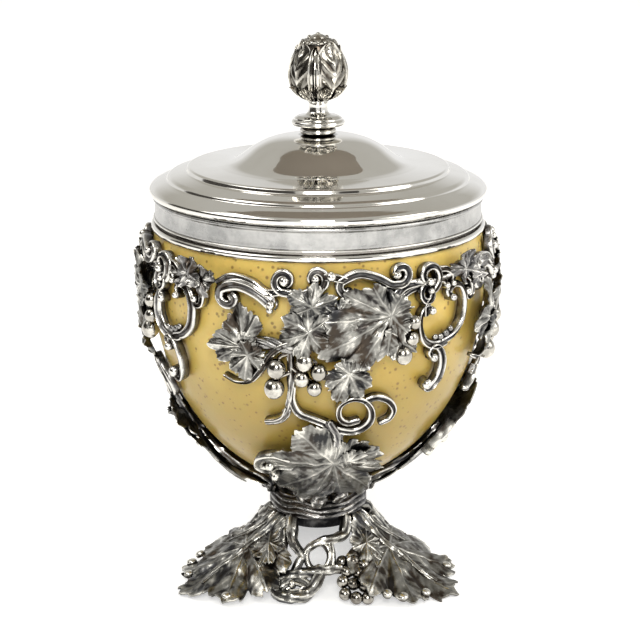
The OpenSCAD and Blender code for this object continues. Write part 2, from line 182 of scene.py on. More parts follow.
class Shape:
    """Points in mm, faces, and a relief value from 0 in a recess to 1 on a worn edge.

    What is added while turn isn't 0 is turned that many degrees about the axis.
    """

    def __init__(self):
        self.points, self.relief, self.faces, self.count, self.turn = [], [], [], 0, 0

    def add(self, points, faces, relief):
        self.points.append(turned(points, self.turn))
        self.relief.append(np.ravel(relief))
        self.faces += [group + self.count for group in faces]
        self.count += len(points)


def grid_faces(m, n):
    """Quads between m closed rows of n points each."""
    i = np.arange(m - 1)[:, None]
    j = np.arange(n)[None, :]
    k = (j + 1) % n
    return np.stack([i * n + j, i * n + k, (i + 1) * n + k, (i + 1) * n + j], -1).reshape(-1, 4)


def fan(row_start, n, pole, flip=False):
    """Triangles from a closed row of n points to one pole."""
    j = np.arange(n)
    a, b = row_start + j, row_start + (j + 1) % n
    if flip:
        a, b = b, a
    return np.stack([a, b, np.full(n, pole)], -1)


def closed_rings(shape, rings, first, last, relief):
    """A closed skin over rings of points, ended by one point at each end."""
    m, n = rings.shape[:2]
    points = np.vstack([rings.reshape(-1, 3), first[None], last[None]])
    faces = [grid_faces(m, n), fan(0, n, m * n, True), fan((m - 1) * n, n, m * n + 1)]
    shape.add(points, faces, np.append(relief, [0.6, 0.6]))


def sweep(shape, line, up, section, wide, high):
    """A closed bar with rounded ends; section rows are (across, up, relief) of a unit bar."""
    blunt, mid = 0.5, 0.42
    m = len(line)
    section = np.broadcast_to(section, (m, *section.shape[-2:]))
    tangent = unit(np.gradient(line, axis=0))
    side = unit(np.cross(up, tangent))
    ends = np.radians([72, 48, 24])
    index = np.concatenate([[0, 0, 0], np.arange(m), [m - 1] * 3])
    scale = np.concatenate([np.cos(ends), np.ones(m), np.cos(ends[::-1])])
    shift = np.concatenate([-np.sin(ends), np.zeros(m), np.sin(ends[::-1])])
    shift = shift * blunt * wide[index]
    u, v = section[index, :, 0], section[index, :, 1]
    centre = line[index] + tangent[index] * shift[:, None]
    rings = (
        centre[:, None]
        + side[index][:, None] * (u * wide[index, None] * scale[:, None])[..., None]
        + up[index][:, None] * (((v - mid) * scale[:, None] + mid) * high[index, None])[..., None]
    )
    first = line[0] - tangent[0] * blunt * wide[0] + up[0] * mid * high[0]
    last = line[-1] + tangent[-1] * blunt * wide[-1] + up[-1] * mid * high[-1]
    closed_rings(shape, rings, first, last, section[index, :, 2])


def channel(lip=0.0):
    """A scroll's section: a groove between two rounded rims. lip makes one rim higher."""
    left, right = 1 + min(lip, 0), 1 - max(lip, 0)
    return np.array([
        (-0.5, 0.0, 0.15), (-0.54, 0.45, 0.4), (-0.5, 0.8 * left, 0.75), (-0.41, 0.97 * left, 1.0),
        (-0.3, left, 0.9), (-0.2, 0.84, 0.4), (-0.1, 0.7, 0.22), (0.1, 0.7, 0.22), (0.2, 0.84, 0.4),
        (0.3, right, 0.9), (0.41, 0.97 * right, 1.0), (0.5, 0.8 * right, 0.75), (0.54, 0.45, 0.4),
        (0.5, 0.0, 0.15), (0.25, -0.06, 0.15), (-0.25, -0.06, 0.15),
    ])


def round_section(steps, ridges=0, depth=0.0, phase=0.0):
    """A round bar's section, with bark ridges along it if wanted."""
    a = np.linspace(0, 2 * math.pi, steps, endpoint=False)
    ridge = np.sin(ridges * a + phase) if ridges else np.full(steps, 0.3)
    r = 0.5 * (1 + depth * ridge)
    return np.column_stack([-r * np.cos(a), 0.5 + r * np.sin(a), 0.45 + 0.45 * ridge])


# Distance in mm between the sections of a rod
ROD_STEP = 0.7


def scroll(shape, points, w0, w1, lip=0.0, low=1.2, high=3.4, place=on_cradle, end=0.0, start=0.0):
    """A channelled scroll along a drawn path; end and start are the sizes of its curled buttons."""
    path = spline(points, 0.6)
    f = np.linspace(0, 1, len(path))
    line, up = place(*path.T, low)
    wide = (w0 + (w1 - w0) * f) * (1 + 0.14 * np.sin(math.pi * f))
    tall = high * (0.86 + 0.14 * np.sin(math.pi * f))
    sweep(shape, line, up, channel(lip), wide, tall)
    for spot, size in ((path[-1], end), (path[0], start)):
        if size:
            button(shape, place, spot, low, size, high + 0.5)


def button(shape, place, spot, low, radius, high):
    """A round domed button that stands on the surface."""
    a = np.linspace(0, 2 * math.pi, 18, endpoint=False)
    rows = [(1.0, 0.0, 0.1), (1.04, 0.5, 0.4), (0.98, 0.72, 0.8), (0.84, 0.9, 1.0), (0.6, 1.02, 0.9),
            (0.3, 1.09, 0.8)]
    rings, relief = [], []
    for r, h, value in rows:
        x, z = spot[0] + radius * r * np.cos(a), spot[1] + radius * r * np.sin(a)
        rings.append(place(x, z, low + h * high)[0])
        relief.append(np.full(len(a), value))
    bottom, _ = place(*spot, low)
    top, _ = place(*spot, low + 1.1 * high)
    closed_rings(shape, np.array(rings), bottom, top, np.array(relief))


def rod(shape, points, w0, w1, out=2.8, place=on_cradle, ridges=5, depth=0.12, knots=0.0, seed=0):
    """A round vine stem with knots and winding bark ridges; out may be a list along the stem."""
    path = spline(points, ROD_STEP)
    f = np.linspace(0, 1, len(path))
    out = np.atleast_1d(out)
    height = np.interp(f, np.linspace(0, 1, len(out)), out)
    s = f * len(path) * ROD_STEP
    swell = knots * np.clip(np.sin(s / 2.1 + seed) ** 7, 0, 1)
    wide = (w0 + (w1 - w0) * f) * (1 + swell + 0.05 * np.sin(s * 1.7 + seed))
    line, up = place(*path.T, height - wide / 2)
    sections = np.array([round_section(16, ridges, depth, 0.35 * k + seed) for k in range(len(path))])
    sweep(shape, line, up, sections, wide, wide)


def strands(shape, points, w0, w1, out, count, seed=0.0):
    """Several strands laid side by side on the cradle, and slightly twisted about each other."""
    pitch = 33
    path = spline(points, ROD_STEP)
    f = np.linspace(0, 1, len(path))
    wide = w0 + (w1 - w0) * f
    line, up = on_cradle(*path.T, out)
    side = unit(np.cross(up, unit(np.gradient(line, axis=0))))
    s = f * len(path) * ROD_STEP
    for k in range(count):
        a = 2 * math.pi * (k / count + s / pitch) + seed
        centre = line + side * (wide * 0.3 * np.cos(a))[:, None] + up * (wide * 0.2 * np.sin(a))[:, None]
        thick = wide * 0.52
        sweep(shape, centre - up * (thick / 2)[:, None], up, round_section(10), thick, thick)


def leaf(shape, stalk, lobes, core, out, seed, fold=0.1, dome=0.9, curl=0.6, thick=0.9, root=2.6, tooth=1.0,
         fine=0.8, around=200, narrow=2.3, ruffle=0.3, tilt=0.16, place=on_cradle):
    """A cast vine leaf. Lobes are [direction, length] from the stalk's end, in degrees and mm.

    core is the reach between lobes, fine the size of teeth and branch veins, narrow how slim the lobes
    are, and curl how far the tips bend, for all of them or lobe by lobe.
    """
    rnd = np.random.default_rng(seed)
    lobes = np.array(lobes, float)
    ways, lengths = lobes[:, 0], lobes[:, 1]
    theta = np.linspace(0, 360, around, endpoint=False)
    away = (theta[:, None] - ways + 540) % 360 - 180
    falloff = np.maximum(0, np.cos(np.radians(np.minimum(90, np.abs(away) * narrow)))) ** 0.7
    reach = (core + (lengths - core) * falloff).max(1)
    near = np.argsort(np.abs(away), 1)
    owner = near[:, 0]
    rows = np.arange(around)
    first, second = np.abs(away[rows, owner]), np.abs(away[rows, near[:, 1]])
    lean = np.radians(away[rows, owner])
    reach = reach * (1 + 0.07 * np.exp(-first / 6) - 0.1 * np.exp(-(((second - first) / 6) ** 2)))
    saw = (reach * np.cos(lean) / (2.6 * fine) + rnd.uniform(0, 1, len(lobes))[owner]) % 1
    edge = reach + tooth * (saw - 0.45) * smoothstep(reach, core * 0.7, core * 1.2)
    edge = edge + 0.5 * tooth * waves(theta * 0.3, 0 * theta, seed + 11, 5)

    f = np.append(np.linspace(0.05, 0.92, int(around / 14)), [0.96, 0.985, 1.0])[:, None]
    r = f * edge
    span = lengths[owner]
    along, across = r * np.cos(lean), r * np.sin(lean)
    g = along / span
    wide = np.abs(across)
    vein = np.exp(-((across / (0.24 + 0.34 * np.clip(1 - g, 0, 1))) ** 2)) * (1 - 0.4 * np.clip(g, 0, 1))
    phase = (along - 0.85 * wide) / (2.3 * fine) + 0.12 * waves(along, across, seed + 3, 5)
    off = phase - np.round(phase)
    branch = np.exp(-((off / 0.16) ** 2)) * smoothstep(wide, 0.3, 1.2)
    valley = np.exp(-(((second - first) / 8) ** 2)) * smoothstep(r, 0.25 * core, 1.1 * core)
    sign = np.where(rnd.uniform(0, 1, len(lobes)) > 0.35, 1.0, -0.7)
    tips = (curl * sign if np.ndim(curl) == 0 else np.array(curl))[owner]
    x, z = r * np.cos(np.radians(theta)), r * np.sin(np.radians(theta))
    pillow = 1 - np.clip(wide / (0.36 * span), 0, 1.2) ** 2
    crinkle = np.sin(np.radians(theta) * 13 + seed) + 0.7 * np.sin(np.radians(theta) * 23 + 2 * seed)
    rise = (
        dome * (1 - (r / lengths.max()) ** 2)
        + 4 * fold * pillow * smoothstep(r, 0, 0.8 * core)
        + 0.45 * vein
        + 0.25 * branch
        - 0.1 * np.cos(2 * math.pi * off) * smoothstep(wide, 0.5, 2)
        - 0.45 * valley
        + smoothstep(f, 0.72, 1) * (0.1 + ruffle * crinkle)
        + tips * smoothstep(g, 0.5, 1.1) * 2.0
        + 0.5 * waves(x, z, seed + 50, 9, 2)
    )
    # each lobe leans its own way, so that some catch the light and others stay dark
    lean_over = rnd.uniform(-1, 1, len(lobes))[owner] * across * tilt * smoothstep(r, 0.2 * core, core)
    rise = rise + sum(np.roll(lean_over, k, 1) for k in range(-3, 4)) / 7
    worn_edge = smoothstep(f, 0.9, 1) * smoothstep(crinkle, -0.6, 0.8)
    detail = 0.45 * vein + 0.28 * branch - 0.35 * valley + 0.5 * worn_edge
    relief = np.clip(0.27 + detail + 0.34 * waves(x, z, seed + 90, 11, 2), 0, 1)

    top, _ = place(stalk[0] + x, stalk[1] + z, out + rise)
    rows = (np.array([1, 0.8, 0.5, 0.12]) * (len(f) - 1)).astype(int)
    under_out = out + rise[rows] - thick * np.array([0.55, 1, 1, 1])[:, None]
    under_out = under_out - (root - thick) * smoothstep(1 - f[rows], 0.35, 0.8)
    under, _ = place(stalk[0] + x[rows], stalk[1] + z[rows], under_out)
    rings = np.concatenate([top, under])
    values = np.concatenate([relief, np.full(under.shape[:2], 0.3)])
    pole, _ = place(*stalk, out + rise[0].mean() + 0.1)
    below, _ = place(*stalk, out + dome - root)
    closed_rings(shape, rings, pole, below, values)


def ball(shape, centre, radius, steps, axis=(0, 0, 1), longer=1.0, worn=0.6):
    """A round berry, drawn out along an axis if longer is above 1."""
    centre = np.asarray(centre, float)
    axis = unit(np.asarray(axis, float))
    u = unit(np.cross(axis, (0, 0, 1) if abs(axis[2]) < 0.9 else (1, 0, 0)))
    v = np.cross(axis, u)
    a = np.linspace(0, 2 * math.pi, steps[0], endpoint=False)[:, None]
    t = np.radians(np.linspace(-90, 90, steps[1] + 2)[1:-1])[:, None, None]
    rings = centre + radius * (np.cos(t) * (np.cos(a) * u + np.sin(a) * v) + np.sin(t) * longer * axis)
    ends = radius * longer * axis
    closed_rings(shape, rings, centre - ends, centre + ends, np.full(rings.shape[:2], worn))


def soften(profile, steps=5):
    """The profile with each corner rounded; rows are (radius, height) or (radius, height, rounding)."""
    rows = np.array([(p[0], p[1], p[2] if len(p) > 2 else 0.0) for p in profile], float)
    out = [rows[0, :2]]
    for a, b, c in zip(rows, rows[1:], rows[2:]):
        before, after = a[:2] - b[:2], c[:2] - b[:2]
        la, lc = np.linalg.norm(before), np.linalg.norm(after)
        size = min(b[2], 0.45 * la, 0.45 * lc)
        if size <= 0:
            out.append(b[:2])
            continue
        p, q = b[:2] + before / la * size, b[:2] + after / lc * size
        for f in np.linspace(0, 1, steps):
            out.append((1 - f) ** 2 * p + 2 * f * (1 - f) * b[:2] + f * f * q)
    out.append(rows[-1, :2])
    return np.array(out)


def lathe(shape, profile, around, change=None, relief=0.6):
    """A turned skin. A profile that starts and ends on the axis is closed there, any other is a ring."""
    profile = soften(profile)
    a = np.linspace(0, 2 * math.pi, around, endpoint=False)
    on_axis = profile[0, 0] < 1e-6
    body = profile[1:-1] if on_axis else np.vstack([profile, profile[:1]])
    r = np.repeat(body[:, :1], around, 1)
    z = np.repeat(body[:, 1:], around, 1)
    value = np.full(r.shape, relief)
    if change is not None:
        r, z, value = change(r, z, a[None, :], value)
    rings = np.stack([r * np.sin(a), -r * np.cos(a), z], -1)
    if on_axis:
        ends = [np.array([0, 0, profile[i, 1]]) for i in (0, -1)]
        closed_rings(shape, rings, ends[0], ends[1], value)
    else:
        m = len(body) - 1
        faces = grid_faces(m + 1, around)
        faces = np.where(faces >= m * around, faces - m * around, faces)
        shape.add(rings[:m].reshape(-1, 3), [faces], value[:m])


# ---- cradle panels


def crest_front(shape):
    """The running scrolls under the collar, at the front of a panel."""
    u_scroll = np.vstack([
        spiral((-11.4, 132.4), 1.5, 3.9, -410, -80), [(-6.4, 128)],
        spiral((-0.7, 133.4), 3.9, 1.6, -100, 200),
    ])
    scroll(shape, u_scroll, 2.7, 2.8, lip=-0.15, high=3.6)
    for spot, low, size, high in (((-11.3, 132.4), 1.2, 1.7, 4), ((-0.9, 133.3), 1.2, 1.5, 3.8),
                                  ((4.4, 134), 1.4, 1.7, 3.8)):
        button(shape, on_cradle, spot, low, size, high)
    scroll(shape, [(2.6, 133.9), (5.6, 133.7), (9.2, 132.8)], 2.8, 2.6)
    s_scroll = np.vstack([
        spiral((10, 129.9), 1, 3.3, -60, -225), [(13.5, 134.6), (20, 133), (24.6, 130.4)],
        spiral((27.8, 133.6), 3.6, 1.4, -110, 190),
    ])
    scroll(shape, s_scroll, 3, 2.8, lip=0.12, high=3.6, end=1.4)
    scroll(shape, [(24.4, 118), (25.4, 124.6), (29, 129), (35.4, 129.9)], 2.8, 2.6, lip=0.2)
    scroll(shape, [(27.8, 120), (28.6, 124.6), (31.6, 127.2), (36, 128)], 1.8, 2, lip=-0.2, high=2.6)
    rod(shape, [(21, 131.2), (24.6, 127.6), (27, 126.4)], 2.4, 2, out=3)
    arch = np.vstack([
        spiral((-30.4, 125.4), 1.2, 3.4, 400, 180),
        [(-32.8, 128.4), (-26.8, 130.2), (-20.4, 128), (-15.8, 124.4)],
    ])
    scroll(shape, arch, 3, 4.6, lip=0.25, high=3.6, end=1.6)
    over_arch = [(-34, 129.8), (-29.6, 132.2), (-23, 131.2), (-18, 128.4), (-13.4, 128.6)]
    scroll(shape, over_arch, 3.2, 2.6, high=3.2)
    scroll(shape, [(-18.6, 128.4), (-15.6, 126.2), (-16.2, 122.6)], 3, 1.8, high=3, end=1.4)


def crest_side(shape):
    """The rosette and curling leaves at the join with the next panel."""
    scroll(shape, spiral((-7, 131.2), 5.2, 1.6, -60, 250), 3, 2, lip=-0.2, high=4.2, end=1.5)
    scroll(shape, spiral((-7.6, 125.4), 3.6, 1.3, 80, 420), 2.6, 1.8, lip=0.2, high=3.6, end=1.2)
    scroll(shape, [(-1.6, 133), (1.6, 132.4), (4.4, 130), (3.8, 127.4)], 2.2, 1.6, end=1.2)
    scroll(shape, [(-2.6, 129.6), (-0.4, 129), (0.6, 127.2)], 2, 1.6, end=1.2)
    rod(shape, [(-12, 129.8), (-5, 128.8), (3, 130.4), (10, 132.4)], 3, 3.4, out=2.6, ridges=4)
    curled = dict(fold=0.16, curl=1, tooth=0.4, fine=0.7, around=120)
    lobes = [[60, 6.4], [120, 6], [175, 6.6], [235, 5], [-20, 7]]
    leaf(shape, (9.6, 131.2), lobes, 3, 4.4, 21, root=3.4, **curled)
    lobes = [[20, 6.6], [85, 5], [200, 4.6], [280, 6], [-30, 5]]
    leaf(shape, (15.6, 130), lobes, 2.8, 4.2, 22, root=3.2, **curled)
    scroll(shape, [(12.4, 129), (15.2, 126), (15, 121.6), (12.4, 120.8), (12.2, 123)], 2.6, 1.6, end=1.4)


def crest(shape):
    crest_front(shape)
    shape.turn = JOIN_TURN
    crest_side(shape)


def hoop(shape):
    """The open C scrolls with beads, and the S curl that hangs below them."""
    shape.turn = JOIN_TURN
    right_c = [(3.2, 122.6), (1.9, 124.9), (4.4, 126.9), (8.4, 125.6), (10.8, 120.4), (9.8, 113.6),
               (5.6, 109.2), (0.4, 107.4)]
    scroll(shape, right_c, 2, 3, lip=0.25, high=3.8, start=1.3)
    left_c = [(1.4, 107.2), (-3.6, 106.8), (-8.4, 109), (-10.8, 114), (-10.4, 118.8), (-8, 121),
              (-6.4, 119.6)]
    scroll(shape, left_c, 3, 2, lip=-0.3, high=3.6, end=1.5)
    scroll(shape, [(-8.4, 118.4), (-8.6, 121.4), (-6.8, 123.6)], 2, 2)
    for x, z, r in ((3.4, 111.4, 1.2), (1.2, 110.2, 1.4), (-1.4, 109.5, 1.3), (-3.8, 109.8, 1.1)):
        spot, normal = on_cradle(x, z, 3.2)
        ball(shape, spot, r, (16, 10), normal)
    curl = [(-4.2, 102.6), (-5.8, 104.8), (-3.4, 106.4), (-0.6, 104), (1, 99.6), (0.6, 94.8), (-1.8, 91.2),
            (-4.4, 90.8), (-5, 92.8)]
    scroll(shape, curl, 2.2, 2.4, lip=-0.2, high=3.8, start=1.5, end=1.9)


def vine(shape):
    """The twisted stem, its tendrils and the stems that run down to the ring."""
    strands(shape, [(-24, 110.6), (-17, 111.2), (-9.6, 110), (-6.4, 112), (-3, 117)], 4.6, 4, 3.2, 4)
    strands(shape, [(-3, 117), (6, 114.4), (14, 116), (25, 121)], 3.8, 3.2, 3, 3, seed=1.0)
    rod(shape, [(-9.8, 110), (-9.2, 101), (-9.6, 92), (-10.8, 85.4), (-13.6, 82), (-17.6, 80.6)], 2.6, 2.4,
        out=(2.8, 2.8, 2.6, 3), knots=0.25, seed=2)
    scroll(shape, [(-10.4, 87), (-11.6, 83.6), (-14.4, 81.6), (-17.8, 80.6)], 2.4, 2.6, lip=0.2)
    tendril = [(-8, 111.8), (-12.5, 110.2), (-16.4, 106.8), (-19.4, 101.4), (-23, 97.2), (-27.6, 96.2),
               (-31.8, 97.8)]
    scroll(shape, tendril, 2.6, 1.5, high=3.6, low=2.4, lip=0.3)
    loop = [(-8.8, 95), (-9, 90), (-6.8, 85.2), (-2.2, 83), (3, 80.6), (8, 78), (13.4, 77.4), (18, 80.6),
            (18.6, 85.4), (16, 89.4), (11.6, 90.4), (7.8, 88), (7.4, 83.6), (10, 80.9), (14, 81.4)]
    scroll(shape, loop, 2.4, 2, lip=0.2, high=3.2)
    hook = [(16, 89.2), (20.2, 90.4), (24.4, 88.6), (26.6, 84.6), (25.4, 81), (22.4, 79.4)]
    scroll(shape, hook, 2, 2.4, lip=0.2, high=3.2)
    rod(shape, [(4, 81), (6.6, 76), (7, 68), (6, 58), (3.6, 48), (0.6, 41), (0, 36)], 3.4, 6, out=3.2,
        knots=0.2, seed=5, ridges=6)
    rod(shape, [(6.4, 63), (11.6, 53), (10.8, 43), (7, 36)], 2.6, 4.4, out=3.0, knots=0.2, seed=8)
    rod(shape, [(-4, 62), (-8.6, 52), (-8.4, 42), (-6, 36)], 2.4, 4, out=2.6, knots=0.2, seed=11)


def big_leaf(shape):
    """The broad leaf at the right of a panel, with a small one hanging below it and one behind."""
    lobes = [[209, 25.6], [238, 19], [266, 13], [182, 20.6], [152, 16.4], [122, 11.4], [310, 7.4],
             [70, 5.4]]
    tips = [-0.4, 0.5, -0.3, 0.6, -0.2, 0.4, 0.6, 0.8]
    leaf(shape, (24, 120.4), lobes, 7, 4.4, 3, dome=1.1, curl=tips, fine=1, around=340, narrow=2.6,
         tilt=0.2)
    lobes = [[248, 10.6], [292, 10.4], [205, 8.6], [330, 7.6], [20, 6], [140, 6]]
    leaf(shape, (10.4, 101.6), lobes, 5, 4.2, 4, fold=0.12, dome=1.2)
    lobes = [[250, 7.4], [310, 6], [60, 6], [150, 6.4]]
    leaf(shape, (27.6, 112.6), lobes, 4, 4, 14, fold=0.12, curl=1, fine=0.7, around=160, tooth=0.8)


def centre_leaf(shape):
    """The five-lobed leaf in the middle of a panel, with two small flower-like leaves above it."""
    lobes = [[250, 9.2], [200, 10], [305, 8.6], [150, 9], [35, 8], [95, 7]]
    leaf(shape, (-3, 116.2), lobes, 5, 4.6, 5)
    lobes = [[80, 7.6], [150, 8.4], [205, 8], [20, 8], [320, 6.6]]
    leaf(shape, (-2, 124.4), lobes, 4.4, 4.2, 6, fine=0.7, around=180)
    lobes = [[60, 6.4], [140, 5.6], [230, 6], [330, 7]]
    leaf(shape, (6.4, 121.2), lobes, 3.8, 4.2, 16, fine=0.7, around=160)


def side_leaf(shape):
    """The leaf cluster at the left of a panel."""
    folded = dict(fold=0.2, tooth=0.7, tilt=0.3)
    leaf(shape, (-24.8, 111.6), [[96, 12], [66, 9.4], [130, 8]], 4.6, 4, 7, **folded)
    lobes = [[184, 11], [156, 9], [212, 9.4]]
    leaf(shape, (-25, 110), lobes, 5, 4.2, 8, dome=1.2, curl=0.5, fine=1, **folded)
    lobes = [[262, 9], [226, 7.4], [306, 6], [110, 5], [180, 5], [30, 4]]
    leaf(shape, (-22.8, 107.6), lobes, 4.6, 4.8, 9, dome=1.5, curl=0.5, **folded)


# Across, height and radius of each berry of a panel
GRAPES = [
    (-14, 102.6, 3.3), (-14.8, 95.4, 3.6), (-4.6, 105.4, 3.1), (0.2, 101.9, 2.9), (-5.4, 99.4, 2.8),
    (-1.2, 96, 2.7), (28.6, 106, 3.3), (31.4, 111.4, 2.5), (32.2, 117, 2.4),
]


def grapes(shape):
    """Bunches of berries on short stalks."""
    for x, z, r in GRAPES:
        spot, normal = on_cradle(x, z, 4.6)
        ball(shape, spot, r, (28, 20), normal * 0.3 + [0, 0, -0.95], longer=1.1)
    stalks = [
        [(-10.6, 108), (-13, 106.4), (-14, 103)], [(-10, 101), (-12.6, 99.4), (-14.6, 97)],
        [(-8.6, 109), (-6, 108.4), (-4.6, 106)], [(-5, 107), (-1.4, 105.4), (0.2, 102.6)],
        [(-9, 103), (-7, 101.4), (-5.4, 100)], [(-5.4, 100), (-2.8, 98.6), (-1.2, 97)],
        [(26, 112), (27.6, 109.4), (28.6, 107)], [(27, 116), (30, 114), (31.4, 112)],
    ]
    for k, path in enumerate(stalks):
        rod(shape, path, 1.5, 1.2, out=3.4, seed=k, ridges=3)


def low_leaf(shape):
    """The big leaf under the egg, whose lower lobes hang down to the ring, and the curls beside it."""
    lobes = [[178, 22], [218, 24], [250, 27], [280, 25], [312, 17], [348, 16], [22, 15], [130, 18.4]]
    tips = [0.7, -0.2, 0.2, -0.4, 0.5, 0.5, 0.7, 0.4]
    leaf(shape, (5.4, 65.4), lobes, 9.6, 4.4, 10, fold=0.08, dome=1.4, curl=tips, root=3.4, tooth=1.2,
         fine=1, around=360, tilt=0.3, ruffle=0.2)
    curl = [(-11, 66), (-15.6, 67.4), (-20, 65.4), (-20.6, 61.6), (-17.4, 60.8), (-16.6, 63.4)]
    scroll(shape, curl, 3.6, 2.4, low=3.6, high=3.6, lip=0.2, end=1.5)
    curl = [(-10, 63), (-14.6, 63.4), (-17, 60.4), (-15, 57.6)]
    scroll(shape, curl, 3.2, 2.2, low=3.4, high=3.4, lip=-0.2, end=1.3)
    leaf(shape, (10.6, 67.4), [[15, 11], [340, 9], [50, 6]], 3.4, 5.4, 17, fold=0.12, curl=0.8, around=160)


# ---- foot: each part is drawn facing front, and its turn only changes its random seeds


def foot_leaf(shape, turn):
    """One of the three leaves that the cup stands on, with its stem up to the ring."""
    lobes = [[0, 27.6], [-40, 25], [42, 25], [-78, 23.4], [80, 23.4], [-114, 15], [114, 15]]
    tips = [-0.1, 0.3, 0.5, 0.2, 0.2, 0.4, 0.2]
    leaf(shape, (31, 0), lobes, 15, 0.2, 30 + turn, fold=0.02, dome=0.8, curl=tips, thick=1.5, root=2.8,
         tooth=1.6, fine=1.5, around=400, narrow=1.9, ruffle=0.15, tilt=0.24, place=on_foot_leaf)
    front = 1 if turn > 180 else -1
    lobes = [[56 * front, 8.4], [112 * front, 6], [0, 7], [-124 * front, 5]]
    leaf(shape, (25, 8 * front), lobes, 5, 1.2, 50 + turn, fold=0.06, curl=0.4, around=170,
         place=on_foot_leaf)
    ribs = [
        ([(14, 0), (20, 0.6), (27, 0), (36, 0.6), (44, 0), (51, 1)], 4.6),
        ([(14, -5), (20, -5.6), (26, -8), (33, -13)], 3.8),
        ([(14, 5), (20, 5.6), (26, 8), (33, 13)], 3.8),
    ]
    for k, (path, wide) in enumerate(ribs):
        rod(shape, path, wide, 1.4, out=(0.6, 0.6, 0.9, 0.9), place=on_foot_leaf, knots=0.15, ridges=6,
            seed=k + turn)
    for along, across, size in ((46.6, -17.6, 2), (41.4, -20.4, 1.7), (52, -9.4, 1.8), (48.4, 15.6, 1.9)):
        button(shape, on_foot_leaf, (along, across), 0.2, size, 2)


def foot_root(shape, turn):
    """Gnarled roots, an open loop and a curl between two foot leaves."""
    roots = [
        ([(14, -9.8), (18, -10), (21.6, -9.2), (25.4, -5.8)], 5, 3.2),
        ([(14, 10.4), (18.4, 10), (20.4, 7.6), (21.8, 4.2), (22.6, 0.4), (24, -3.6), (26, -5.4)], 4.6, 2.6),
        ([(17, -12.6), (21.6, -13), (26.4, -14), (29.6, -17)], 3.6, 2.4),
        ([(26, -6.4), (28.6, -9.6), (30.4, -14)], 3.2, 3.4),
        ([(28, -14.4), (28.8, -9), (29.2, -3.4), (28.8, 2.4), (27.6, 8)], 4.2, 4.4),
        ([(21.8, 4.2), (24.6, 5), (28.4, 5.2)], 2.8, 3),
        ([(30, 0.4), (33.4, -2.4), (36, -7), (35.8, -12), (33, -15.6), (29.4, -15.6)], 4.6, 3.8),
    ]
    for k, (path, w0, w1) in enumerate(roots):
        rod(shape, path, w0, w1, out=0.4, place=on_foot_root, knots=0.2, seed=k * 1.7 + turn)
    loop = spiral((0, 0), 4.4, 4.4, 0, 352, 18) * [0.7, 1] + [25.8, 0]
    rod(shape, loop, 2.4, 2.4, out=0.3, place=on_foot_root, ridges=3, depth=0.08)
    curl = [(29, -14), (30.4, -8), (32.4, -4), (34.2, -6.4), (34, -11), (31.8, -12.6), (31.2, -9.6)]
    scroll(shape, curl, 3.8, 2.8, place=on_foot_root, low=-0.4, high=2.4, lip=0.2, end=1.2)


# Across, outward from the axis, and height of each berry of a foot bunch, which are all of one size
FOOT_BERRY = 2.5
FOOT_GRAPES = [
    (9.2, 25.8, 12.4), (13.4, 26.2, 12.9), (17.2, 27.2, 11.6), (11, 29.4, 9.9), (15.3, 29.6, 9.4),
    (19.2, 30, 8.4), (9.4, 32.2, 7.2), (13.4, 33.2, 6.7), (17.5, 33.4, 5.9), (21.2, 33.2, 4.6),
    (10.2, 35.6, 3.7), (14.4, 37.2, 2.9), (18.6, 36.9, 2.7),
]


def foot_grapes(shape, _):
    """A bunch of berries beside the roots, the same at all three."""
    for across, outward, height in FOOT_GRAPES:
        ball(shape, (across, -outward, height), FOOT_BERRY, (22, 14), worn=0.3)


def stem_ring(shape):
    """The ring under the egg, cast as bands of bark that wind round it."""
    profile = soften([
        (12, 21.6, 0.4), (15.2, 21.6, 0.6), (15.4, 25.6, 0.6), (17.4, 26.2, 0.6), (18.4, 27.4, 0.8),
        (18.6, 29.4, 1), (18.2, 32.4, 1), (17.6, 35, 0.8), (12, 35, 0.4), (12, 30, 0.4),
    ])
    outer = even(profile[:-1], 0.3)

    def bark(r, z, a, _):
        wave = z + 0.6 * np.sin(2 * a + 1) + 0.4 * np.sin(5 * a) + 0.3 * np.sin(9 * a + 2)
        ridge = (0.5 + 0.5 * np.sin(2 * math.pi * wave / 2.3)) ** 0.7
        grain = 0.5 + 0.5 * np.sin(2 * math.pi * wave / 0.8 + 3 * np.sin(7 * a))
        outside = smoothstep(r, 15.5, 17.5)
        worn = (0.42 * ridge**2 + 0.25 * grain) * outside
        return r + outside * (0.9 * ridge + 0.2 * grain - 0.5), z, worn

    lathe(shape, outer, 220, bark)


# ---- lid, finial, collar and egg


def lid_shell(shape):
    """The cover: a dome and steps down to the rolled rim, then the same line again from inside."""
    dome = spline([(0, 172), (8, 171.9), (14, 171.3), (19, 170), (23.5, 167.8), (27, 165.3), (30, 163.2),
                   (33, 161.9), (37.5, 161.3)], 0.9)
    steps = soften([
        (37.5, 161.3), (47.6, 161, 0.6), (48.3, 160.6, 0.3), (48.7, 159.3, 0.4), (50, 159, 0.6),
        (54.6, 158, 1.2), (55.7, 157.3, 0.5), (56.1, 156.3, 0.4), (58.6, 155.6, 1), (61.2, 154.5, 1.2),
        (62.5, 153.3, 0.9), (62.6, 152.3, 0.8), (61.9, 151.1, 0.6), (60.9, 150.6, 0.3), (56.4, 150.6, 0.2),
        (56.4, 154.4, 0.3), (53.6, 156.2, 1), (46.6, 159.2, 1), (37, 159.6, 1),
    ])
    hollow = spline([(37, 159.6), (32.4, 160.2), (29, 162), (26, 164.1), (23, 166.4), (19.4, 168.5),
                     (15.6, 169.6), (8, 170.2), (0, 170.3)], 1.2)
    lathe(shape, np.vstack([dome, steps[1:], hollow[1:]]), 256)


def lid_bezel(shape):
    """The plain ring that plugs into the collar."""
    lathe(shape, [(55.15, 140.8, 0.2), (56.3, 140.8, 0.2), (56.3, 154.6, 0.2), (55.1, 154.6, 0.2),
                  (55.1, 147, 0.2)], 192)


